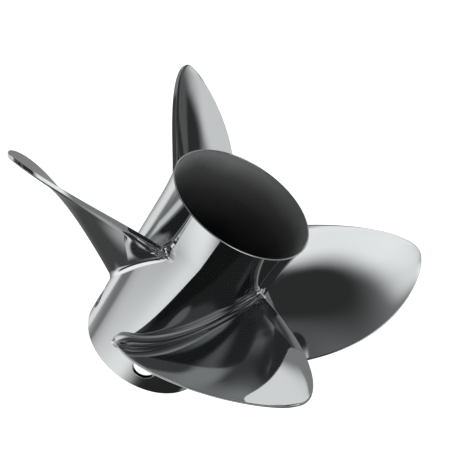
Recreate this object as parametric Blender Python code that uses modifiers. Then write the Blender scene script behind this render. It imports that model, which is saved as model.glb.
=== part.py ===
"""A four-blade outboard propeller of polished stainless steel, standing on its front rim.

Metres, +Z up. Z is the shaft axis: the front rim, which meets the gearcase, lies in z = 0, and the
flared aft rim is at the top. It is a right-hand wheel: seen from aft it turns clockwise.
Run it with: blender --background --python part.py
"""

import math

import bmesh
import bpy
from mathutils import Vector

# Barrel
FRONT_RADIUS = 0.0603
FLARE_START_RADIUS = 0.0622
AFT_RADIUS = 0.0652
FLARE_START = 0.1508
LENGTH = 0.1889
WALL = 0.0040
AFT_LIP = 0.0014
RIM_ROUNDING = 0.0008
FLARE_STEPS = 6
ROUND_STEPS = 72

# Vent holes through the barrel, one on +X, +Y, -X and -Y
VENT_HEIGHT = 0.0238
VENT_RADIUS = 0.0108
VENT_STEPS = 36

# Blades: values at the root, one third and two thirds of the way out, and at the tip
BLADES = 4
TIP_RADIUS = 0.2032
CHORD = (0.1481, 0.1380, 0.1183, 0.0702)
PITCH = (0.477, 0.605, 0.617, 0.624)
MIDDLE_HEIGHT = (0.0841, 0.1146, 0.1439, 0.1764)
MIDDLE_DEGREES = (8.7, 12.2, 15.2, 22.5)
THICKNESS = (0.0080, 0.0066, 0.0052, 0.0040)
LEADING_RADIUS = 0.0010
CUP_START = 0.86
TIP_ROUNDING = 7.1
TIP_FLAT = 0.995

# Thickness of the trailing edge at the root and the tip
TRAILING_EDGE = (0.0050, 0.0030)

# Camber, and depth of the trailing edge's cup, as shares of half the chord; then the camber's
# lean at the root and the tip
CAMBER = (0.098, 0.036, 0.006, 0.041)
CUP_DEPTH = 0.023
CAMBER_LEAN = (-1.18, -0.61)

# Root fillet: on the pressure side at the leading and trailing edges, and on the suction side
LEADING_FILLET = 0.0166
TRAILING_FILLET = 0.0060
SUCTION_FILLET = 0.0040

# How finely a blade is drawn
FILLET_STEPS = 3
CHORD_STEPS = 20
SPAN_STEPS = 13
CAP_STRIPS = 6

# Inner hub, its bush and the ribs that carry it
HUB_BOTTOM = 0.014
HUB_TOP = 0.106
HUB_RADIUS = 0.0300
HUB_WALL = 0.0047
RIB_THICKNESS = 0.006
BUSH_INSET = 0.004
SLEEVE_RADIUS = 0.0170
SPLINE_ROOT_RADIUS = 0.0134
SPLINE_TIP_RADIUS = 0.0121
SPLINE_TEETH = 15

# The clearance left between pieces that are one casting or a press fit on the real wheel
GAP = 0.0003


def clear_scene():
    for obj in list(bpy.data.objects):
        bpy.data.objects.remove(obj)


def new_collection(name):
    collection = bpy.data.collections.new(name)
    bpy.context.scene.collection.children.link(collection)
    return collection


def new_material(name, colour, roughness, metallic):
    material = bpy.data.materials.new(name)
    material.use_nodes = True
    shader = material.node_tree.nodes["Principled BSDF"]
    shader.inputs["Base Color"].default_value = (*colour, 1)
    shader.inputs["Roughness"].default_value = roughness
    shader.inputs["Metallic"].default_value = metallic
    return material


def place(obj, collection, material):
    collection.objects.link(obj)
    obj.data.materials.append(material)
    return obj


def through_stations(values, u):
    """The cubic through four values at u = 0, 1/3, 2/3 and 1."""
    total = 0.0
    for i, value in enumerate(values):
        weight = 1.0
        for j in range(4):
            if j != i:
                weight *= (3 * u - j) / (i - j)
        total += value * weight
    return total


def root_to_tip(values, u):
    """Straight from the root's value to the tip's."""
    return values[0] + (values[1] - values[0]) * u


def barrel_radius(z):
    """Outer radius: a slight taper, then a flare that starts tangent to it."""
    taper = (FLARE_START_RADIUS - FRONT_RADIUS) / FLARE_START
    radius = FRONT_RADIUS + taper * z
    if z > FLARE_START:
        run = LENGTH - FLARE_START
        rise = AFT_RADIUS - FLARE_START_RADIUS - taper * run
        radius += rise * ((z - FLARE_START) / run) ** 2
    return radius


def bore_radius(z):
    """Inner radius: an even wall up to the flare, then a wall that thins to the aft lip."""
    thinning = max(0.0, (z - FLARE_START) / (LENGTH - FLARE_START))
    return barrel_radius(z) - WALL + (WALL - AFT_LIP) * thinning


def turned(name, profile, collection, material):
    """A closed (radius, z) outline, running down its outer side first, turned about Z."""
    mesh = bpy.data.meshes.new(name)
    points = [(radius, 0, z) for radius, z in profile]
    edges = [(i, (i + 1) % len(points)) for i in range(len(points))]
    mesh.from_pydata(points, edges, [])
    obj = place(bpy.data.objects.new(name, mesh), collection, material)
    screw = obj.modifiers.new("Turn", "SCREW")
    screw.axis = "Z"
    screw.steps = ROUND_STEPS
    screw.render_steps = ROUND_STEPS
    screw.use_merge_vertices = True
    screw.merge_threshold = 0.00001
    screw.use_smooth_shade = True
    return obj


def make_barrel(collection, cutters, material):
    top = FLARE_START - GAP
    corner = FRONT_RADIUS - RIM_ROUNDING
    profile = [
        (barrel_radius(top), top),
        (barrel_radius(RIM_ROUNDING), RIM_ROUNDING),
        (corner, 0),
        (bore_radius(0) + RIM_ROUNDING, 0),
        (bore_radius(RIM_ROUNDING), RIM_ROUNDING),
        (bore_radius(top), top),
    ]
    barrel = turned("exhaust_barrel", profile, collection, material)
    for axis in range(2):
        bpy.ops.mesh.primitive_cylinder_add(
            vertices=VENT_STEPS,
            radius=VENT_RADIUS,
            depth=4 * FRONT_RADIUS,
            location=(0, 0, VENT_HEIGHT),
            rotation=(math.pi / 2, 0, axis * math.pi / 2),
        )
        cutter = bpy.context.object
        cutter.name = f"vent_cutter_{axis + 1}"
        cutter.hide_render = True
        cutter.display_type = "WIRE"
        for owner in list(cutter.users_collection):
            owner.objects.unlink(cutter)
        cutters.objects.link(cutter)
        cut = barrel.modifiers.new(f"Vents {axis + 1}", "BOOLEAN")
        cut.operation = "DIFFERENCE"
        cut.solver = "EXACT"
        cut.object = cutter


def make_diffuser_ring(collection, material):
    heights = [
        FLARE_START + (LENGTH - FLARE_START) * i / FLARE_STEPS
        for i in range(FLARE_STEPS + 1)
    ]
    outer = [(barrel_radius(z), z) for z in reversed(heights)]
    inner = [(bore_radius(z), z) for z in heights]
    turned("diffuser_ring", outer + inner, collection, material)


def half_thickness(u, s, half_chord):
    """Half the blade's thickness at s, from -1 at the leading edge to +1 at the trailing edge."""
    middle = through_stations(THICKNESS, u) / 2
    edge = root_to_tip(TRAILING_EDGE, u) / 2 if s > 0 else LEADING_RADIUS
    thickness = edge + (middle - edge) * (1 - s * s)
    nose = min(1.0, (1 + s) * half_chord / (2 * LEADING_RADIUS))
    return thickness * math.sqrt(1 - (1 - nose) ** 2)


def mean_line(u, s, half_chord):
    """Offset of the blade's middle from its chord, positive toward the suction side.

    A lean below 0 puts the deepest camber forward of the middle of the chord.
    """
    arch = through_stations(CAMBER, u) * (1 - s * s) * (1 + root_to_tip(CAMBER_LEAN, u) * s)
    cup = max(0.0, (s - CUP_START) / (1 - CUP_START)) ** 2
    return half_chord * (arch + CUP_DEPTH * ((1 + s) / 2 - cup))


def mean_slope(u, s):
    """How steeply the mean line leaves the chord at s."""
    lean = root_to_tip(CAMBER_LEAN, u)
    arch = through_stations(CAMBER, u) * (lean * (1 - s * s) - 2 * s * (1 + lean * s))
    cup = 2 * max(0.0, s - CUP_START) / (1 - CUP_START) ** 2
    return CUP_DEPTH * (0.5 - cup) + arch


def half_chord_at(u):
    return through_stations(CHORD, u) / 2 * math.sqrt(1 - TIP_FLAT * u**TIP_ROUNDING)


def chord_stations():
    """From -1 to +1, closer together toward both edges and most of all round the nose."""
    steps = [0, 0.5, *range(1, CHORD_STEPS)]
    return [-math.cos(math.pi * i / (CHORD_STEPS - 1)) for i in steps]


def section_pairs(u):
    """(suction, pressure) points across the section at u, in its own plane."""
    half_chord = half_chord_at(u)
    pairs = []
    for s in chord_stations():
        middle = Vector((s * half_chord, mean_line(u, s, half_chord)))
        across = Vector((-mean_slope(u, s), 1)).normalized()
        half = half_thickness(u, s, half_chord)
        pairs.append((middle + across * half, middle - across * half))
    return pairs


def between(a, b, count):
    return [a.lerp(b, i / count) for i in range(1, count)]


def section_loop(u):
    """The closed outline at u: leading edge, suction side, trailing edge, pressure side."""
    pairs = section_pairs(u)
    loop = [suction for suction, _ in pairs]
    loop += between(*pairs[-1], CAP_STRIPS)
    loop += [pressure for _, pressure in reversed(pairs[1:])]
    return loop


def fillet_spread(u, radius):
    """How far a fillet of this radius stands out from the blade at u."""
    above = u * (TIP_RADIUS - FRONT_RADIUS) / radius
    if above >= 1:
        return 0.0
    return radius * (1 - math.sqrt(1 - (1 - above) ** 2))


def spread_loop(loop, u):
    """The outline with the root fillet added, widest on the pressure side by the leading edge."""
    half_chord = half_chord_at(u)
    spread = []
    for i, point in enumerate(loop):
        along = loop[(i + 1) % len(loop)] - loop[i - 1]
        outward = Vector((-along.y, along.x)).normalized()
        pressure_share = (1 - outward.y) / 2
        forward = min(1.0, max(0.0, (1 - point.x / half_chord) / 2))
        radius = TRAILING_FILLET + (LEADING_FILLET - TRAILING_FILLET) * forward
        pressure = fillet_spread(u, radius) * pressure_share
        suction = fillet_spread(u, SUCTION_FILLET) * (1 - pressure_share)
        spread.append(point + outward * (pressure + suction))
    return spread


def on_wheel(point, u, turn):
    """Wraps a section point round the shaft at its pitch angle and its place along the span."""
    radius = FRONT_RADIUS + u * (TIP_RADIUS - FRONT_RADIUS)
    pitch_angle = math.atan2(through_stations(PITCH, u), 2 * math.pi * radius)
    arc = point.x * math.cos(pitch_angle) + point.y * math.sin(pitch_angle)
    z = through_stations(MIDDLE_HEIGHT, u)
    z += point.x * math.sin(pitch_angle) - point.y * math.cos(pitch_angle)
    angle = turn + math.radians(through_stations(MIDDLE_DEGREES, u)) + arc / radius
    root = barrel_radius(z) + GAP
    distance = root + u * (TIP_RADIUS - root)
    return Vector((distance * math.cos(angle), distance * math.sin(angle), z))


def span_stations():
    """From 0 at the root to 1 at the tip: the fillet's rings, then closer together to the tip."""
    top = max(LEADING_FILLET, TRAILING_FILLET) / (TIP_RADIUS - FRONT_RADIUS)
    fillet = [top * (1 - math.cos(math.pi / 2 * i / FILLET_STEPS)) for i in range(FILLET_STEPS)]
    blade = [1 - (1 - top) * (1 - i / SPAN_STEPS) ** 2 for i in range(SPAN_STEPS + 1)]
    return fillet + blade


def cap(bm, ring, u, loop, turn):
    """Closes an end with strips across the section, so that the root follows the barrel."""
    last = CHORD_STEPS
    rows = []
    for i in range(1, last + 1):
        suction = i
        pressure = len(loop) - i
        row = [ring[suction]]
        if i == last:
            row += ring[suction + 1 : pressure]
        else:
            inner = between(loop[suction], loop[pressure], CAP_STRIPS)
            row += [bm.verts.new(on_wheel(point, u, turn)) for point in inner]
        row.append(ring[pressure])
        rows.append(row)
    for k in range(CAP_STRIPS):
        bm.faces.new((ring[0], rows[0][k], rows[0][k + 1]))
        for near, far in zip(rows, rows[1:]):
            bm.faces.new((near[k], far[k], far[k + 1], near[k + 1]))


def make_blade(number, collection, material):
    """A loft through sections of unlike chord, camber and pitch."""
    turn = 2 * math.pi * (number - 1) / BLADES
    bm = bmesh.new()
    rings = []
    stations = span_stations()
    loops = [spread_loop(section_loop(u), u) for u in stations]
    for u, loop in zip(stations, loops):
        rings.append([bm.verts.new(on_wheel(point, u, turn)) for point in loop])
    for low, high in zip(rings, rings[1:]):
        for i in range(len(low)):
            j = (i + 1) % len(low)
            bm.faces.new((low[i], low[j], high[j], high[i]))
    cap(bm, rings[0], stations[0], loops[0], turn)
    cap(bm, rings[-1], stations[-1], loops[-1], turn)
    bmesh.ops.recalc_face_normals(bm, faces=bm.faces)
    for face in bm.faces:
        face.smooth = True
    name = f"blade_{number}"
    mesh = bpy.data.meshes.new(name)
    bm.to_mesh(mesh)
    bm.free()
    place(bpy.data.objects.new(name, mesh), collection, material)


def make_inner_hub(collection, material):
    inner = HUB_RADIUS - HUB_WALL
    profile = [
        (HUB_RADIUS, HUB_TOP),
        (HUB_RADIUS, HUB_BOTTOM),
        (inner, HUB_BOTTOM),
        (inner, HUB_TOP),
    ]
    turned("inner_hub", profile, collection, material)


def flat_plate(name, outlines, thickness, collection, material):
    """A 2D curve filled on both sides; the first outline is the edge, the rest are holes."""
    curve = bpy.data.curves.new(name, "CURVE")
    curve.dimensions = "2D"
    curve.fill_mode = "BOTH"
    curve.extrude = thickness / 2
    for outline in outlines:
        spline = curve.splines.new("POLY")
        spline.points.add(len(outline) - 1)
        for point, (x, y) in zip(spline.points, outline):
            point.co = (x, y, 0, 1)
        spline.use_cyclic_u = True
    return place(bpy.data.objects.new(name, curve), collection, material)


def make_ribs(collection, material):
    """Four radial ribs, set between the vents, from the inner hub to the barrel's wall."""
    inner = HUB_RADIUS + GAP
    outline = [
        (inner, HUB_BOTTOM),
        (bore_radius(HUB_BOTTOM) - GAP, HUB_BOTTOM),
        (bore_radius(HUB_TOP) - GAP, HUB_TOP),
        (inner, HUB_TOP),
    ]
    for number in range(1, BLADES + 1):
        rib = flat_plate(f"hub_rib_{number}", [outline], RIB_THICKNESS, collection, material)
        rib.rotation_euler = (math.pi / 2, 0, math.pi / 4 + math.pi / 2 * (number - 1))


def make_bush(collection, material):
    outer = HUB_RADIUS - HUB_WALL - GAP
    inner = SLEEVE_RADIUS + GAP
    top = HUB_TOP - BUSH_INSET
    bottom = HUB_BOTTOM + BUSH_INSET
    profile = [(outer, top), (outer, bottom), (inner, bottom), (inner, top)]
    turned("rubber_bush", profile, collection, material)


def ring_of_points(radius, count):
    step = 2 * math.pi / count
    return [(radius * math.cos(i * step), radius * math.sin(i * step)) for i in range(count)]


def spline_outline():
    """Two points on each tooth and two in each space between teeth."""
    points = []
    step = 2 * math.pi / (4 * SPLINE_TEETH)
    for i in range(4 * SPLINE_TEETH):
        radius = SPLINE_TIP_RADIUS if i % 4 < 2 else SPLINE_ROOT_RADIUS
        points.append((radius * math.cos(i * step), radius * math.sin(i * step)))
    return points


def make_sleeve(collection, material):
    outlines = [ring_of_points(SLEEVE_RADIUS, ROUND_STEPS), spline_outline()]
    length = HUB_TOP - HUB_BOTTOM
    sleeve = flat_plate("splined_sleeve", outlines, length, collection, material)
    sleeve.location.z = (HUB_TOP + HUB_BOTTOM) / 2


def main():
    clear_scene()
    propeller = new_collection("outboard_propeller")
    cutters = new_collection("cutters")
    steel = new_material("polished_stainless", (0.76, 0.77, 0.79), 0.08, 1.0)
    cast = new_material("cast_stainless", (0.60, 0.61, 0.62), 0.35, 1.0)
    rubber = new_material("black_rubber", (0.02, 0.02, 0.02), 0.70, 0.0)
    bronze = new_material("bronze", (0.58, 0.42, 0.20), 0.30, 1.0)
    make_barrel(propeller, cutters, steel)
    make_diffuser_ring(propeller, steel)
    for number in range(1, BLADES + 1):
        make_blade(number, propeller, steel)
    make_inner_hub(propeller, cast)
    make_ribs(propeller, cast)
    make_bush(propeller, rubber)
    make_sleeve(propeller, bronze)


main()
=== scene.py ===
import math

import bmesh
import bpy
import numpy as np
from mathutils import Matrix, Vector, noise


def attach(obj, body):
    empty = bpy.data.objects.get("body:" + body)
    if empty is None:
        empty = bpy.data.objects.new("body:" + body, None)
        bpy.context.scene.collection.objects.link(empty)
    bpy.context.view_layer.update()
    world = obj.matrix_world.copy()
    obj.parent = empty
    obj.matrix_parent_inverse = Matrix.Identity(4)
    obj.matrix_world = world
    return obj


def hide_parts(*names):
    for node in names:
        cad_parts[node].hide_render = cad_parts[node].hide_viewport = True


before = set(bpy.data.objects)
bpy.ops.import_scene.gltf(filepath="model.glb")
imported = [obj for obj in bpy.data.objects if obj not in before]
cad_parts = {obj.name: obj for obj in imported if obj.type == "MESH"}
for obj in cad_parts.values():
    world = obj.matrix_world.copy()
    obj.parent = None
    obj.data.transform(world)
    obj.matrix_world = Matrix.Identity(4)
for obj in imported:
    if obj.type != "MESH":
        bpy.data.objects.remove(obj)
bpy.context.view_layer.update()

# The shape, in metres, as part.py has it. Z is the shaft axis, with the aft rim at the top.
FRONT_RADIUS = 0.0603
FLARE_START_RADIUS = 0.0622
AFT_RADIUS = 0.0652
FLARE_START = 0.1508
LENGTH = 0.1889
WALL = 0.0040
AFT_LIP = 0.0014
RIM_ROUNDING = 0.0008
VENT_HEIGHT = 0.0238
VENT_RADIUS = 0.0108
VENT_ROUNDING = 0.0007
TIP_RADIUS = 0.2032
# A blade at four stations, evenly spaced from root to tip; two values are for root and tip
CHORD = (0.1481, 0.1380, 0.1183, 0.0702)
PITCH = (0.477, 0.605, 0.617, 0.624)
MIDDLE_HEIGHT = (0.0841, 0.1146, 0.1439, 0.1764)
MIDDLE_DEGREES = (8.7, 12.2, 15.2, 22.5)
THICKNESS = (0.0080, 0.0066, 0.0052, 0.0040)
TRAILING_EDGE = (0.0050, 0.0030)
LEADING_RADIUS = 0.0010
CUP_START = 0.86
TIP_ROUNDING = 7.1
TIP_FLAT = 0.995
CAMBER = (0.098, 0.036, 0.006, 0.041)
CAMBER_LEAN = (-1.18, -0.61)
CUP_DEPTH = 0.023
# Root fillet: on the pressure side at the leading and trailing edges, and on the suction side
LEADING_FILLET = 0.0166
TRAILING_FILLET = 0.0060
SUCTION_FILLET = 0.0040
# The hub's parts
HUB_BOTTOM = 0.014
HUB_TOP = 0.106
HUB_RADIUS = 0.0300
HUB_WALL = 0.0047
RIB_THICKNESS = 0.006
BUSH_INSET = 0.004
SLEEVE_RADIUS = 0.0170
SPLINE_ROOT_RADIUS = 0.0134
SPLINE_TIP_RADIUS = 0.0121
SPLINE_TEETH = 15
# Of one tooth and its gap together: half the tooth's foot, and how much of that is flank
TOOTH_HALF = 0.31
TOOTH_FLANK = 0.12
GAP = 0.0003

# The run from a blade's nose over which the pressure side's root fillet grows to its full size
NOSE_RUN = 0.020

# How finely the surfaces are drawn
CHORD_STEPS = 72
SPAN_STEPS = 72
FILLET_STEPS = 20
CORNER_STEPS = 8
EDGE_STEPS = 4
EDGE_RINGS = 8
BARREL_STEPS = 360
HUB_STEPS = 180
TOOTH_STEPS = 24
VENT_STEPS = 96

# Small roundings and fillets that only the finer meshes have
CORNER_ROUNDING = 0.00035
TIP_EDGE = 0.0016
HUB_CHAMFER = 0.0008
RIB_FILLET = 0.0045
RIB_EDGE = 0.0012
BUSH_CROWN = 0.0012

# How far blades and ribs reach into the wall, how close a face must lie to the wall's formula to
# count as its skin, how far down from the lip the bore is polished, and below what height its
# painted shade is darkest
SUNK = 0.0002
SKIN_TOLERANCE = 0.00005
LIP_POLISH = 0.0015
PAINTED_SHADE_DEPTH = 0.115

# Uneven hand polishing where a blade's trailing edge meets the barrel: how deep it is in the
# blade and in the skin round it, how wide its lumps are, and how far it reaches in both
CRINKLE_DEPTH = 0.0018
CRINKLE_SIZE = 0.0065
CRINKLE_REACH = 0.018
SKIN_CRINKLE_DEPTH = 0.0009
SKIN_CRINKLE_REACH = 0.0115

# The camera, as the photograph has it
CAMERA_LOCATION = (-0.1584, -0.7678, 0.6894)
CAMERA_FORWARD = (0.16867, 0.81090, -0.56034)
CAMERA_ROLL_DEGREES = 34.7
FOCAL_PIXELS = 1099.0
IMAGE_PIXELS = 455
SENSOR_MM = 36.0

# The studio: soft-edged areas on a dome round the part, each laid over the ones before it.
# Azimuth and elevation of its middle, half its width and height, and its tilt, in degrees;
# then how soft its edge is, as a share of its size, and how bright it is.
DOME_RADIUS = 20.0
DOME_BRIGHTNESS = 0.23
STUDIO = {
    "key softbox": (-58, 55, 20, 32, -10, 0.4, 1.00),
    "front shade": (-170, 20, 45, 30, 55, 1.0, 0.06),
    "front flag": (-106, 46, 17, 32, 25, 0.7, 0.03),
    "front lower flag": (-150, 25, 80, 5, 5, 0.6, 0.02),
    "left flag": (-170, 32, 17, 8, 25, 0.3, 0.01),
    "left floor softbox": (-125, -45, 45, 10, 15, 1.6, 0.85),
    "right floor flag": (-10, -45, 55, 8, 20, 0.6, 0.02),
    "back softbox": (110, 12, 6, 15, 15, 0.8, 0.80),
    "back right softbox": (35, 27, 25, 8, -7, 0.7, 0.70),
    "back flag": (50, 2, 18, 16, -5, 0.4, 0.03),
    "back floor softbox": (155, -30, 40, 10, 25, 0.8, 0.80),
    "back floor flag": (150, -42, 10, 10, 20, 0.7, 0.20),
    "back left flag": (135, 0, 13, 7, -5, 0.5, 0.02),
    "under flag": (90, -70, 8, 32, 10, 0.6, 0.06),
    "side flag": (-75, 0, 32, 6, -10, 1.0, 0.06),
    "lower side flag": (-85, 32, 5, 4, -10, 0.6, 0.04),
    "low front flag": (-125, -17, 23, 7, 15, 0.5, 0.06),
    "under left softbox": (180, -65, 35, 13, -5, 1.0, 1.10),
    "under back softbox": (150, -77, 9, 6, -15, 0.7, 0.65),
    "under left flag": (-140, -77, 25, 5, 10, 0.5, 0.03),
    "under side softbox": (68, -60, 7, 17, -10, 0.9, 0.40),
    "side low flag": (-63, 2, 9, 6, -10, 0.5, 0.03),
    "front low strip": (-108, -3, 30, 5, 0, 1.0, 0.28),
    "back strip": (53, 5, 3, 17, -5, 0.7, 0.10),
    "left strip": (-170, 17, 4, 3, 10, 0.6, 0.15),
    "top edge flag": (156, 58, 9, 24, 0, 0.4, 0.05),
}


def through_stations(values, u):
    """The cubic through four values at u = 0, 1/3, 2/3 and 1."""
    total = 0.0
    for i, value in enumerate(values):
        weight = 1.0
        for j in range(4):
            if j != i:
                weight = weight * (3 * u - j) / (i - j)
        total = total + value * weight
    return total


def root_to_tip(values, u):
    """Straight from the root's value to the tip's."""
    return values[0] + (values[1] - values[0]) * u


def barrel_radius(z):
    """Outer radius: a slight taper, then a flare that starts tangent to it."""
    taper = (FLARE_START_RADIUS - FRONT_RADIUS) / FLARE_START
    run = LENGTH - FLARE_START
    rise = AFT_RADIUS - FLARE_START_RADIUS - taper * run
    beyond = np.maximum(z - FLARE_START, 0) / run
    return FRONT_RADIUS + taper * z + rise * beyond**2


def bore_radius(z):
    """Inner radius: an even wall up to the flare, then a wall that thins to the aft lip."""
    thinning = np.maximum(z - FLARE_START, 0) / (LENGTH - FLARE_START)
    return barrel_radius(z) - WALL + (WALL - AFT_LIP) * thinning


def add_mesh(name, points, faces, smooth=True):
    mesh = bpy.data.meshes.new(name)
    mesh.from_pydata([tuple(map(float, p)) for p in points], [], faces)
    if smooth:
        mesh.shade_smooth()
    obj = bpy.data.objects.new(name, mesh)
    bpy.context.scene.collection.objects.link(obj)
    return obj


def half_thickness(u, q, half_chord):
    """Half the blade's thickness at q along the chord, rounded at the nose."""
    s = q / half_chord
    middle = through_stations(THICKNESS, u) / 2
    edge = np.where(s > 0, root_to_tip(TRAILING_EDGE, u) / 2, LEADING_RADIUS)
    thickness = edge + (middle - edge) * (1 - s * s)
    nose = np.clip((q + half_chord) / (2 * LEADING_RADIUS), 0, 1)
    return thickness * np.sqrt(1 - (1 - nose) ** 2)


def mean_line(u, s, half_chord):
    """Offset of the blade's middle from its chord, positive toward the suction side.

    A lean below 0 puts the deepest camber forward of the middle of the chord.
    """
    arch = through_stations(CAMBER, u) * (1 - s * s) * (1 + root_to_tip(CAMBER_LEAN, u) * s)
    cup = np.maximum(0, (s - CUP_START) / (1 - CUP_START)) ** 2
    return half_chord * (arch + CUP_DEPTH * ((1 + s) / 2 - cup))


def half_chord_at(u):
    """Half the chord, which draws in to a blunt point at the tip."""
    return through_stations(CHORD, u) / 2 * math.sqrt(1 - TIP_FLAT * u**TIP_ROUNDING)


def mean_slope(u, s):
    """How steeply the mean line leaves the chord at s."""
    lean = root_to_tip(CAMBER_LEAN, u)
    arch = through_stations(CAMBER, u) * (lean * (1 - s * s) - 2 * s * (1 + lean * s))
    cup = 2 * np.maximum(0, s - CUP_START) / (1 - CUP_START) ** 2
    return CUP_DEPTH * (0.5 - cup) + arch


def tip_share(u):
    """The share of the thickness left at u, where the edge is rounded off at the tip."""
    beyond = max(0.0, 1 - (1 - u) * (TIP_RADIUS - FRONT_RADIUS) / TIP_EDGE)
    return math.sqrt(max(0.004, 1 - beyond * beyond))


def section_loop(u):
    """The closed outline at u: leading edge, suction side, trailing edge, pressure side."""
    half_chord = half_chord_at(u)
    rounding = min(CORNER_ROUNDING, half_chord / 4)
    reach = 2 * half_chord - rounding
    q = -half_chord + reach * (1 - np.cos(np.pi * np.arange(CHORD_STEPS + 1) / CHORD_STEPS)) / 2
    turn = np.linspace(0, np.pi / 2, CORNER_STEPS + 1)[1:]
    q = np.append(q, half_chord - rounding + rounding * np.sin(turn))
    half = half_thickness(u, np.minimum(q, half_chord - rounding), half_chord)
    half[CHORD_STEPS + 1 :] = half[CHORD_STEPS] - rounding * (1 - np.cos(turn))
    s = q / half_chord
    middle = np.stack([q, mean_line(u, s, half_chord)], 1)
    across = np.stack([-mean_slope(u, s), np.ones(len(s))], 1)
    across /= np.linalg.norm(across, axis=1, keepdims=True)
    half *= tip_share(u)
    suction = middle + across * half[:, None]
    pressure = (middle - across * half[:, None])[:0:-1]
    flat = np.linspace(0, 1, EDGE_STEPS + 1)[1:-1, None]
    face = suction[-1] + flat * (pressure[0] - suction[-1])
    return np.concatenate([suction, face, pressure])


def fillet_spread(u, radius):
    """How far a fillet of this radius stands out from the blade at u."""
    above = np.minimum(1, u * (TIP_RADIUS - FRONT_RADIUS) / radius)
    return radius * (1 - np.sqrt(1 - (1 - above) ** 2))


def spread_loop(loop, u):
    """The outline with the root fillet added, widest on the pressure side by the leading edge."""
    half_chord = half_chord_at(u)
    forward = np.clip((1 - loop[:, 0] / half_chord) / 2, 0, 1)
    radius = TRAILING_FILLET + (LEADING_FILLET - TRAILING_FILLET) * forward
    nose = np.clip((loop[:, 0] + half_chord) / NOSE_RUN, 0, 1)
    radius = np.maximum(SUCTION_FILLET, radius * np.sqrt(1 - (1 - nose) ** 2))
    along = np.roll(loop, -1, 0) - np.roll(loop, 1, 0)
    outward = np.stack([-along[:, 1], along[:, 0]], 1)
    outward /= np.linalg.norm(outward, axis=1, keepdims=True)
    pressure_share = (1 - outward[:, 1]) / 2
    pressure = fillet_spread(u, radius) * pressure_share
    suction = fillet_spread(u, SUCTION_FILLET) * (1 - pressure_share)
    return loop + outward * (pressure + suction)[:, None]


def on_wheel(loop, u, turn):
    """Wraps section points round the shaft at their pitch angle and place along the span."""
    radius = FRONT_RADIUS + u * (TIP_RADIUS - FRONT_RADIUS)
    pitch_angle = math.atan2(through_stations(PITCH, u), 2 * math.pi * radius)
    arc = loop[:, 0] * math.cos(pitch_angle) + loop[:, 1] * math.sin(pitch_angle)
    z = through_stations(MIDDLE_HEIGHT, u)
    z = z + loop[:, 0] * math.sin(pitch_angle) - loop[:, 1] * math.cos(pitch_angle)
    angle = turn + math.radians(through_stations(MIDDLE_DEGREES, u)) + arc / radius
    root = barrel_radius(z) - SUNK
    distance = root + u * (TIP_RADIUS - root)
    return np.stack([distance * np.cos(angle), distance * np.sin(angle), z], 1)


def span_stations():
    """From 0 at the root to 1 at the tip: the fillet's rings, then closer together to the tip."""
    span = TIP_RADIUS - FRONT_RADIUS
    top = max(LEADING_FILLET, TRAILING_FILLET) / span
    rise = np.arange(FILLET_STEPS) / FILLET_STEPS
    fillet = top * (1 - np.cos(np.pi / 2 * rise))
    edge = TIP_EDGE / span
    blade = top + (1 - edge - top) * (1 - (1 - np.arange(SPAN_STEPS + 1) / SPAN_STEPS) ** 2)
    turn = np.linspace(0, np.pi / 2, EDGE_RINGS + 1)[1:]
    return np.concatenate([fillet, blade, 1 - edge * (1 - np.sin(turn))])


def trailing_foot(number):
    """Where a blade's trailing edge meets its root fillet."""
    u = TRAILING_FILLET / 2 / (TIP_RADIUS - FRONT_RADIUS)
    edge = np.array([[half_chord_at(u), 0.0]])
    return Vector(on_wheel(edge, u, math.pi / 2 * (number - 1))[0])


def crinkle(blade, foot):
    """Moves the skin in and out unevenly round the foot of the trailing edge."""
    mesh = blade.data
    normals = [Vector(vertex.normal) for vertex in mesh.vertices]
    for vertex, normal in zip(mesh.vertices, normals):
        near = max(0.0, 1 - (vertex.co - foot).length / CRINKLE_REACH)
        if near:
            share = near * near * (3 - 2 * near)
            creases = noise.turbulence(vertex.co / CRINKLE_SIZE, 2, True)
            vertex.co += CRINKLE_DEPTH * share * (creases - 0.5) * normal


def make_blade(number, material):
    turn = math.pi / 2 * (number - 1)
    rings = [on_wheel(spread_loop(section_loop(u), u), u, turn) for u in span_stations()]
    blade = add_mesh(f"polished_blade_{number}", np.concatenate(rings), loft_faces(rings))
    crinkle(blade, trailing_foot(number))
    finish_piece(blade, material, [f"blade_{number}"])
    return blade


def finish_piece(piece, material, nodes):
    piece.data.materials.append(material)
    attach(piece, "root")
    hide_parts(*nodes)


def barrel_profile():
    """(radius, z) points round the wall: down the outside, round the front rim, up the bore."""
    front = RIM_ROUNDING
    lip = AFT_LIP / 2
    straight = np.linspace(FLARE_START, front, 64)[1:]
    outer_z = np.concatenate([np.linspace(LENGTH - lip, FLARE_START, 28), straight])
    profile = [(float(barrel_radius(z)), z) for z in outer_z]
    bore = float(bore_radius(front))
    for a in np.linspace(0, np.pi / 2, 7)[1:]:
        profile.append((FRONT_RADIUS - front + front * math.cos(a), front - front * math.sin(a)))
    for a in np.linspace(0, np.pi / 2, 7)[:-1]:
        profile.append((bore + front - front * math.sin(a), front - front * math.cos(a)))
    inner_z = np.linspace(front, LENGTH - lip, 64)
    profile += [(float(bore_radius(z)), z) for z in inner_z]
    inner, outer = profile[-1][0], profile[0][0]
    middle, half = (inner + outer) / 2, (outer - inner) / 2
    for a in np.linspace(0, np.pi, 12)[1:-1]:
        profile.append((middle - half * math.cos(a), LENGTH - lip + lip * math.sin(a)))
    return profile


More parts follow.
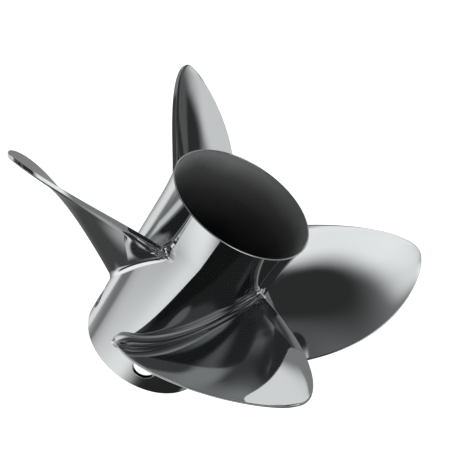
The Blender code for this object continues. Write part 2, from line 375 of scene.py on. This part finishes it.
def vent_cutter(turn):
    """A plug for one vent hole, whose rim is rounded to meet the barrel's curve."""
    sweep = np.linspace(0, np.pi / 2, 7)
    steps = [(VENT_RADIUS, -3 * WALL), (VENT_RADIUS, -VENT_ROUNDING)]
    steps += [
        (VENT_RADIUS + VENT_ROUNDING * (1 - math.cos(a)), VENT_ROUNDING * (math.sin(a) - 1))
        for a in sweep[1:]
    ]
    steps += [(VENT_RADIUS + VENT_ROUNDING, WALL)]
    around = 2 * np.pi * np.arange(VENT_STEPS) / VENT_STEPS
    points = []
    for radius, height in steps:
        z = VENT_HEIGHT + radius * np.sin(around)
        side = radius * np.cos(around)
        out = np.sqrt(barrel_radius(z) ** 2 - side**2) + height
        x = out * math.cos(turn) - side * math.sin(turn)
        y = out * math.sin(turn) + side * math.cos(turn)
        points += list(zip(x, y, z))
    faces = []
    for level in range(len(steps) - 1):
        for i in range(VENT_STEPS):
            j = (i + 1) % VENT_STEPS
            low = level * VENT_STEPS
            faces.append((low + i, low + j, low + VENT_STEPS + j, low + VENT_STEPS + i))
    last = (len(steps) - 1) * VENT_STEPS
    faces.append(tuple(range(VENT_STEPS - 1, -1, -1)))
    faces.append(tuple(range(last, last + VENT_STEPS)))
    return add_mesh("vent_cutter", points, faces)


def cut_vents(barrel):
    for number in range(4):
        cutter = vent_cutter(math.pi / 2 * number)
        cut = barrel.modifiers.new("Vent", "BOOLEAN")
        cut.operation = "DIFFERENCE"
        cut.solver = "EXACT"
        cut.object = cutter
        apply_modifiers(barrel)
        bpy.data.objects.remove(cutter)


def apply_modifiers(obj):
    bpy.context.view_layer.update()
    graph = bpy.context.evaluated_depsgraph_get()
    mesh = bpy.data.meshes.new_from_object(obj.evaluated_get(graph))
    obj.modifiers.clear()
    obj.data = mesh


def turned_mesh(name, profile, steps):
    """A closed (radius, z) outline turned round the shaft axis."""
    angles = 2 * np.pi * np.arange(steps) / steps
    points = []
    for radius, z in profile:
        points += [(radius * math.cos(a), radius * math.sin(a), z) for a in angles]
    faces = []
    rows = len(profile)
    for row in range(rows):
        low = (row + 1) % rows * steps
        high = row * steps
        for i in range(steps):
            j = (i + 1) % steps
            faces.append((high + i, low + i, low + j, high + j))
    return add_mesh(name, points, faces)


def wall_side(point, normal):
    """1 on the barrel's outer skin, -1 in its bore and 0 on rims and vent walls."""
    radius = math.hypot(point[0], point[1])
    facing = (point[0] * normal[0] + point[1] * normal[1]) / max(radius, 1e-6)
    if facing > 0.5 and abs(radius - barrel_radius(point[2])) < SKIN_TOLERANCE:
        return 1
    if facing < -0.5 and abs(radius - bore_radius(point[2])) < SKIN_TOLERANCE:
        return -1
    return 0


def skin_normal(point, side):
    """The exact normal of the barrel's outer skin or bore at a point on it."""
    shape = barrel_radius if side > 0 else bore_radius
    z = point[2]
    slope = (shape(z + 1e-5) - shape(z - 1e-5)) / 2e-5
    out = Vector((point[0], point[1], 0)).normalized()
    return side * Vector((out.x, out.y, -slope)).normalized()


def smooth_skin(barrel, bore_material):
    """Gives the skin and bore their exact normals, so that the cut vents leave no ripples."""
    mesh = barrel.data
    mesh.materials.append(bore_material)
    mesh.set_sharp_from_angle(angle=math.radians(38))
    normals = [Vector(corner.vector) for corner in mesh.corner_normals]
    for face in mesh.polygons:
        side = wall_side(face.center, face.normal)
        face.material_index = 1 if side < 0 and face.center.z < LENGTH - LIP_POLISH else 0
        if side:
            for corner in face.loop_indices:
                point = mesh.vertices[mesh.loops[corner].vertex_index].co
                normals[corner] = skin_normal(point, side)
    mesh.normals_split_custom_set(normals)


def make_barrel(steel, cast):
    barrel = turned_mesh("polished_barrel", barrel_profile(), BARREL_STEPS)
    cut_vents(barrel)
    finish_piece(barrel, steel, ["exhaust_barrel", "diffuser_ring"])
    smooth_skin(barrel, cast)
    return barrel


def make_inner_hub(material):
    inner = HUB_RADIUS - HUB_WALL
    c = HUB_CHAMFER
    profile = [
        (HUB_RADIUS, HUB_TOP - 2 * c),
        (HUB_RADIUS, HUB_BOTTOM + 2 * c),
        (HUB_RADIUS - c / 2, HUB_BOTTOM + c / 2),
        (HUB_RADIUS - 2 * c, HUB_BOTTOM),
        (inner + c, HUB_BOTTOM),
        (inner, HUB_BOTTOM + c),
        (inner, HUB_TOP - c),
        (inner + c, HUB_TOP),
        (HUB_RADIUS - 2 * c, HUB_TOP),
        (HUB_RADIUS - c / 2, HUB_TOP - c / 2),
    ]
    hub = turned_mesh("cast_inner_hub", profile, HUB_STEPS)
    hub.data.set_sharp_from_angle(angle=math.radians(40))
    finish_piece(hub, material, ["inner_hub"])


def rib_loop(z, shrink):
    """A rib's outline at one height, widening in a fillet at the hub and at the barrel."""
    start, end = HUB_RADIUS - SUNK, float(bore_radius(z)) + SUNK
    sweep = np.linspace(0, np.pi / 2, 9)
    near = start + RIB_FILLET * (1 - np.cos(sweep))
    spread = RIB_FILLET * (1 - np.sin(sweep))
    r = np.concatenate([near, end + start - near[::-1]])
    half = RIB_THICKNESS / 2 - shrink + np.concatenate([spread, spread[::-1]])
    one = np.stack([r, half], 1)
    other = np.stack([r[::-1], -half[::-1]], 1)
    return np.concatenate([one, other])


def make_rib(number, material):
    turn = math.pi / 4 + math.pi / 2 * (number - 1)
    sweep = np.linspace(0, np.pi / 2, 5)
    ends = RIB_EDGE * (1 - np.sin(sweep))
    levels = [(HUB_BOTTOM + RIB_EDGE - RIB_EDGE * math.cos(a), e) for a, e in zip(sweep, ends)]
    top = [(HUB_TOP + HUB_BOTTOM - z, e) for z, e in reversed(levels)]
    middle = [(z, 0.0) for z in np.linspace(levels[-1][0], top[0][0], 24)[1:-1]]
    rings = []
    for z, shrink in levels + middle + top:
        loop = rib_loop(z, shrink)
        x = loop[:, 0] * math.cos(turn) - loop[:, 1] * math.sin(turn)
        y = loop[:, 0] * math.sin(turn) + loop[:, 1] * math.cos(turn)
        rings.append(np.stack([x, y, np.full(len(loop), z)], 1))
    rib = add_mesh(f"cast_rib_{number}", np.concatenate(rings), loft_faces(rings))
    turn_out(rib)
    finish_piece(rib, material, [f"hub_rib_{number}"])


def loft_faces(rings):
    """Quads between rings of equal length, with strips across both ends."""
    count = len(rings[0])
    faces = []
    for low in range(0, (len(rings) - 1) * count, count):
        for i in range(count):
            j = (i + 1) % count
            faces.append((low + i, low + j, low + count + j, low + count + i))
    last = (len(rings) - 1) * count
    for i in range((count - 1) // 2):
        strip = list(dict.fromkeys((i, i + 1, count - 2 - i, count - 1 - i)))
        faces.append(tuple(strip[::-1]))
        faces.append(tuple(last + k for k in strip))
    return faces


def turn_out(obj):
    """Makes every face of a closed piece face outward."""
    work = bmesh.new()
    work.from_mesh(obj.data)
    bmesh.ops.recalc_face_normals(work, faces=work.faces)
    work.to_mesh(obj.data)
    work.free()


def make_bush(material):
    """The rubber between hub and sleeve, its ends crowned where it is squeezed in."""
    outer = HUB_RADIUS - HUB_WALL - GAP / 3
    inner = SLEEVE_RADIUS + GAP / 3
    top = HUB_TOP - BUSH_INSET
    bottom = HUB_BOTTOM + BUSH_INSET
    across = np.linspace(0, 1, 15)
    crown = BUSH_CROWN * np.sqrt(np.clip(1 - (2 * across - 1) ** 2, 0, 1))
    down = [(outer - (outer - inner) * a, bottom - c) for a, c in zip(across, crown)]
    up = [(inner + (outer - inner) * a, top + c) for a, c in zip(across, crown)]
    bush = turned_mesh("rubber_bush_ring", down + up, HUB_STEPS)
    turn_out(bush)
    finish_piece(bush, material, ["rubber_bush"])


def spline_radius(angles):
    """Rounded teeth round the bore of the sleeve."""
    phase = (angles * SPLINE_TEETH / (2 * np.pi)) % 1
    rise = np.clip((TOOTH_HALF - np.abs(phase - 0.5)) / TOOTH_FLANK, 0, 1)
    tooth = rise * rise * (3 - 2 * rise)
    return SPLINE_ROOT_RADIUS - (SPLINE_ROOT_RADIUS - SPLINE_TIP_RADIUS) * tooth


def make_sleeve(material):
    count = SPLINE_TEETH * TOOTH_STEPS
    angles = 2 * np.pi * np.arange(count) / count
    teeth = spline_radius(angles)
    outer = np.full(count, SLEEVE_RADIUS)
    c = HUB_CHAMFER
    levels = [
        (outer, HUB_TOP - c),
        (outer, HUB_BOTTOM + c),
        (outer - c, HUB_BOTTOM),
        (np.maximum(teeth, SPLINE_ROOT_RADIUS) + c, HUB_BOTTOM),
        (teeth, HUB_BOTTOM + 2 * c),
        (teeth, HUB_TOP - 2 * c),
        (np.maximum(teeth, SPLINE_ROOT_RADIUS) + c, HUB_TOP),
        (outer - c, HUB_TOP),
    ]
    rings = [np.stack([r * np.cos(angles), r * np.sin(angles), r * 0 + z], 1) for r, z in levels]
    faces = []
    for row in range(len(rings)):
        high, low = row * count, (row + 1) % len(rings) * count
        for i in range(count):
            j = (i + 1) % count
            faces.append((high + i, low + i, low + j, high + j))
    sleeve = add_mesh("bronze_spline_sleeve", np.concatenate(rings), faces)
    sleeve.data.set_sharp_from_angle(angle=math.radians(30))
    finish_piece(sleeve, material, ["splined_sleeve"])


class Shading:
    """Adds nodes to one material and links them."""

    def __init__(self, name):
        self.material = bpy.data.materials.new(name)
        self.material.use_nodes = True
        self.tree = self.material.node_tree
        self.shader = self.tree.nodes["Principled BSDF"]
        self.place = self.add("ShaderNodeTexCoord").outputs["Object"]

    def add(self, kind, **settings):
        node = self.tree.nodes.new(kind)
        for key, value in settings.items():
            setattr(node, key, value)
        return node

    def link(self, source, target):
        self.tree.links.new(source, target)

    def noise(self, scale, detail=2.0, roughness=0.5, place=None):
        node = self.add("ShaderNodeTexNoise")
        node.inputs["Scale"].default_value = scale
        node.inputs["Detail"].default_value = detail
        node.inputs["Roughness"].default_value = roughness
        self.link(place or self.place, node.inputs["Vector"])
        return node.outputs["Fac"]

    def stretched(self, scale):
        node = self.add("ShaderNodeMapping")
        node.inputs["Scale"].default_value = scale
        self.link(self.place, node.inputs["Vector"])
        return node.outputs["Vector"]

    def ramp(self, value, stops):
        node = self.add("ShaderNodeValToRGB")
        elements = node.color_ramp.elements
        while len(elements) < len(stops):
            elements.new(0.5)
        for element, (position, colour) in zip(elements, stops):
            element.position = position
            element.color = (*colour, 1)
        self.link(value, node.inputs["Fac"])
        return node.outputs["Color"]

    def between(self, value, low, high, from_low=0.3, from_high=0.7):
        node = self.add("ShaderNodeMapRange")
        for name, number in (
            ("From Min", from_low),
            ("From Max", from_high),
            ("To Min", low),
            ("To Max", high),
        ):
            node.inputs[name].default_value = number
        self.link(value, node.inputs["Value"])
        return node.outputs["Result"]

    def bump(self, height, distance, under=None):
        node = self.add("ShaderNodeBump")
        node.inputs["Strength"].default_value = 1.0
        node.inputs["Distance"].default_value = distance
        self.link(height, node.inputs["Height"])
        if under:
            self.link(under, node.inputs["Normal"])
        return node.outputs["Normal"]

    def finish(self, colour, roughness, normal, metallic):
        self.link(colour, self.shader.inputs["Base Color"])
        self.link(roughness, self.shader.inputs["Roughness"])
        self.link(normal, self.shader.inputs["Normal"])
        self.shader.inputs["Metallic"].default_value = metallic
        return self.material


def near_feet(s):
    """1 at the foot of each trailing edge, falling to 0 where the crinkled skin ends."""
    nearest = None
    for number in range(1, 5):
        away = s.add("ShaderNodeVectorMath", operation="DISTANCE")
        s.link(s.place, away.inputs[0])
        away.inputs[1].default_value = trailing_foot(number)
        if nearest:
            least = s.add("ShaderNodeMath", operation="MINIMUM")
            s.link(nearest, least.inputs[0])
            s.link(away.outputs["Value"], least.inputs[1])
            nearest = least.outputs[0]
        else:
            nearest = away.outputs["Value"]
    return s.between(nearest, 1.0, 0.0, 0.3 * SKIN_CRINKLE_REACH, SKIN_CRINKLE_REACH)


def polished_steel():
    """Stainless steel buffed to a mirror, with a trace of haze, waves and crinkled feet."""
    s = Shading("mirror_polished_stainless")
    tone = s.noise(14, 2)
    colour = s.ramp(tone, [(0.3, (0.745, 0.766, 0.780)), (0.7, (0.765, 0.785, 0.797))])
    haze = s.between(s.noise(55, 4, 0.6), 0.03, 0.06)
    waves = s.bump(s.noise(38, 1), 0.00002)
    uneven = s.between(s.noise(1 / CRINKLE_SIZE, 0.5), -0.5, 0.5, 0.0, 1.0)
    creases = s.add("ShaderNodeMath", operation="MULTIPLY")
    s.link(uneven, creases.inputs[0])
    s.link(near_feet(s), creases.inputs[1])
    crinkles = s.bump(creases.outputs[0], SKIN_CRINKLE_DEPTH, waves)
    return s.finish(colour, haze, crinkles, 1.0)


def cast_steel():
    """The bore and hub as cast and blasted: satin, with a painted sheen at the mouth and painted
    shade deep down.
    """
    s = Shading("as_cast_stainless_painted_shade")
    height = s.add("ShaderNodeSeparateXYZ")
    s.link(s.place, height.inputs[0])
    # The height that the painted shade follows, made patchy by noise
    painted_shade_height = s.add("ShaderNodeMath", operation="MULTIPLY_ADD")
    s.link(s.noise(40, 3), painted_shade_height.inputs[0])
    painted_shade_height.inputs[1].default_value = 0.01
    s.link(height.outputs["Z"], painted_shade_height.inputs[2])
    painted_shade_and_sheen = s.between(painted_shade_height.outputs[0], 0.0, 1.0, PAINTED_SHADE_DEPTH, LENGTH)
    # Painted shade: the colour called scale is not real scale but painted shade, darkening the deep
    # bore, hub and ribs; clean is the cast steel's own grey
    scale, clean, painted_sheen = (0.07, 0.072, 0.075), (0.43, 0.435, 0.44), (0.84, 0.85, 0.86)
    # Painted sheen: near the mouth the ramp rises to a bright colour that stands in for light on the
    # bore's rim
    colour = s.ramp(painted_shade_and_sheen, [(0.0, scale), (0.78, clean), (1.0, painted_sheen)])
    satin = s.between(s.noise(300, 3), 0.62, 0.70)
    pebble = s.bump(s.noise(900, 2), 0.00004)
    return s.finish(colour, satin, pebble, 1.0)


def black_rubber():
    s = Shading("moulded_black_rubber")
    tone = s.noise(90, 3)
    colour = s.ramp(tone, [(0.3, (0.012, 0.012, 0.012)), (0.7, (0.024, 0.023, 0.022))])
    dull = s.between(s.noise(500, 3), 0.55, 0.72)
    grain = s.bump(s.noise(1500, 2), 0.00003)
    return s.finish(colour, dull, grain, 0.0)


def bronze():
    """Machined bronze, with fine turning marks along the bore."""
    s = Shading("machined_bronze")
    tone = s.noise(60, 3)
    colour = s.ramp(tone, [(0.3, (0.50, 0.34, 0.15)), (0.7, (0.62, 0.45, 0.22))])
    marks = s.noise(1, 2, 0.5, s.stretched((60, 60, 2500)))
    roughness = s.between(marks, 0.22, 0.34)
    lines = s.bump(marks, 0.000008)
    return s.finish(colour, roughness, lines, 1.0)


def make_floor():
    """A plain pale floor that the polished steel doesn't mirror."""
    reach = 6.0
    below = -0.0005
    corners = [(-reach, -reach), (reach, -reach), (reach, reach), (-reach, reach)]
    floor = add_mesh("studio_floor", [(x, y, below) for x, y in corners], [(0, 1, 2, 3)])
    floor.visible_glossy = False
    floor.visible_diffuse = False
    material = bpy.data.materials.new("pale_floor")
    material.use_nodes = True
    shader = material.node_tree.nodes["Principled BSDF"]
    shader.inputs["Base Color"].default_value = (0.9, 0.9, 0.9, 1)
    shader.inputs["Emission Color"].default_value = (1, 1, 1, 1)
    shader.inputs["Emission Strength"].default_value = 1.0
    floor.data.materials.append(material)


def area_axes(azimuth, elevation, tilt):
    """The direction of an area's middle, then its sideways and upward axes."""
    a, e = math.radians(azimuth), math.radians(elevation)
    middle = Vector((math.cos(e) * math.cos(a), math.cos(e) * math.sin(a), math.sin(e)))
    east = Vector((-math.sin(a), math.cos(a), 0))
    up = middle.cross(east)
    t = math.radians(tilt)
    side = math.cos(t) * east + math.sin(t) * up
    return middle, side, middle.cross(side)


def studio_light():
    """A glow that depends only on where on the dome it comes from."""
    material = bpy.data.materials.new("studio_dome")
    material.use_nodes = True
    tree = material.node_tree
    tree.nodes.clear()

    def add(kind, operation=None):
        node = tree.nodes.new(kind)
        if operation:
            node.operation = operation
        return node

    place = add("ShaderNodeTexCoord").outputs["Object"]
    direction = add("ShaderNodeVectorMath", "NORMALIZE")
    tree.links.new(place, direction.inputs[0])

    def along(axis):
        dot = add("ShaderNodeVectorMath", "DOT_PRODUCT")
        tree.links.new(direction.outputs["Vector"], dot.inputs[0])
        dot.inputs[1].default_value = axis
        return dot.outputs["Value"]

    level = None
    for azimuth, elevation, wide, high, tilt, soft, bright in STUDIO.values():
        middle, side, up = area_axes(azimuth, elevation, tilt)
        offset = add("ShaderNodeCombineXYZ")
        tree.links.new(along(side / math.sin(math.radians(wide))), offset.inputs["X"])
        tree.links.new(along(up / math.sin(math.radians(high))), offset.inputs["Y"])
        away = add("ShaderNodeVectorMath", "LENGTH")
        tree.links.new(offset.outputs["Vector"], away.inputs[0])
        edge = add("ShaderNodeMapRange")
        edge.interpolation_type = "SMOOTHSTEP"
        edge.inputs["From Min"].default_value = 1 + soft / 2
        edge.inputs["From Max"].default_value = 1 - soft / 2
        tree.links.new(away.outputs["Value"], edge.inputs["Value"])
        facing = add("ShaderNodeMath", "GREATER_THAN")
        facing.inputs[1].default_value = 0.0
        tree.links.new(along(middle), facing.inputs[0])
        share = add("ShaderNodeMath", "MULTIPLY")
        tree.links.new(edge.outputs["Result"], share.inputs[0])
        tree.links.new(facing.outputs[0], share.inputs[1])
        mix = add("ShaderNodeMix")
        mix.inputs[2].default_value = DOME_BRIGHTNESS
        mix.inputs[3].default_value = bright
        if level:
            tree.links.new(level, mix.inputs[2])
        tree.links.new(share.outputs[0], mix.inputs["Factor"])
        level = mix.outputs["Result"]
    glow = add("ShaderNodeEmission")
    tree.links.new(level, glow.inputs["Strength"])
    output = add("ShaderNodeOutputMaterial")
    tree.links.new(glow.outputs["Emission"], output.inputs["Surface"])
    return material


def make_dome():
    """The light round the part, which shows only in what it lights."""
    bpy.ops.mesh.primitive_ico_sphere_add(subdivisions=5, radius=DOME_RADIUS)
    dome = bpy.context.object
    dome.name = "studio_dome"
    dome.data.materials.append(studio_light())
    dome.visible_camera = False
    dome.visible_shadow = False


def make_camera():
    """The photograph's view, found by fitting the outlines of rims, barrel and blades."""
    data = bpy.data.cameras.new("photo_view")
    data.sensor_width = SENSOR_MM
    data.lens = FOCAL_PIXELS * SENSOR_MM / IMAGE_PIXELS
    data.clip_end = 50
    camera = bpy.data.objects.new("photo_view", data)
    bpy.context.scene.collection.objects.link(camera)
    level = Vector(CAMERA_FORWARD).to_track_quat("-Z", "Y")
    roll = Matrix.Rotation(math.radians(CAMERA_ROLL_DEGREES), 4, "Z")
    camera.matrix_world = Matrix.Translation(CAMERA_LOCATION) @ level.to_matrix().to_4x4() @ roll
    bpy.context.scene.camera = camera


def make_world():
    world = bpy.data.worlds.new("studio")
    world.use_nodes = True
    background = world.node_tree.nodes["Background"]
    background.inputs["Color"].default_value = (1, 1, 1, 1)
    background.inputs["Strength"].default_value = 1.0
    bpy.context.scene.world = world
    bpy.context.scene.view_settings.view_transform = "Standard"


def main():
    make_camera()
    make_world()
    make_floor()
    make_dome()
    steel, cast = polished_steel(), cast_steel()
    make_barrel(steel, cast)
    for number in range(1, 5):
        make_blade(number, steel)
        make_rib(number, cast)
    make_inner_hub(cast)
    make_bush(black_rubber())
    make_sleeve(bronze())


main()
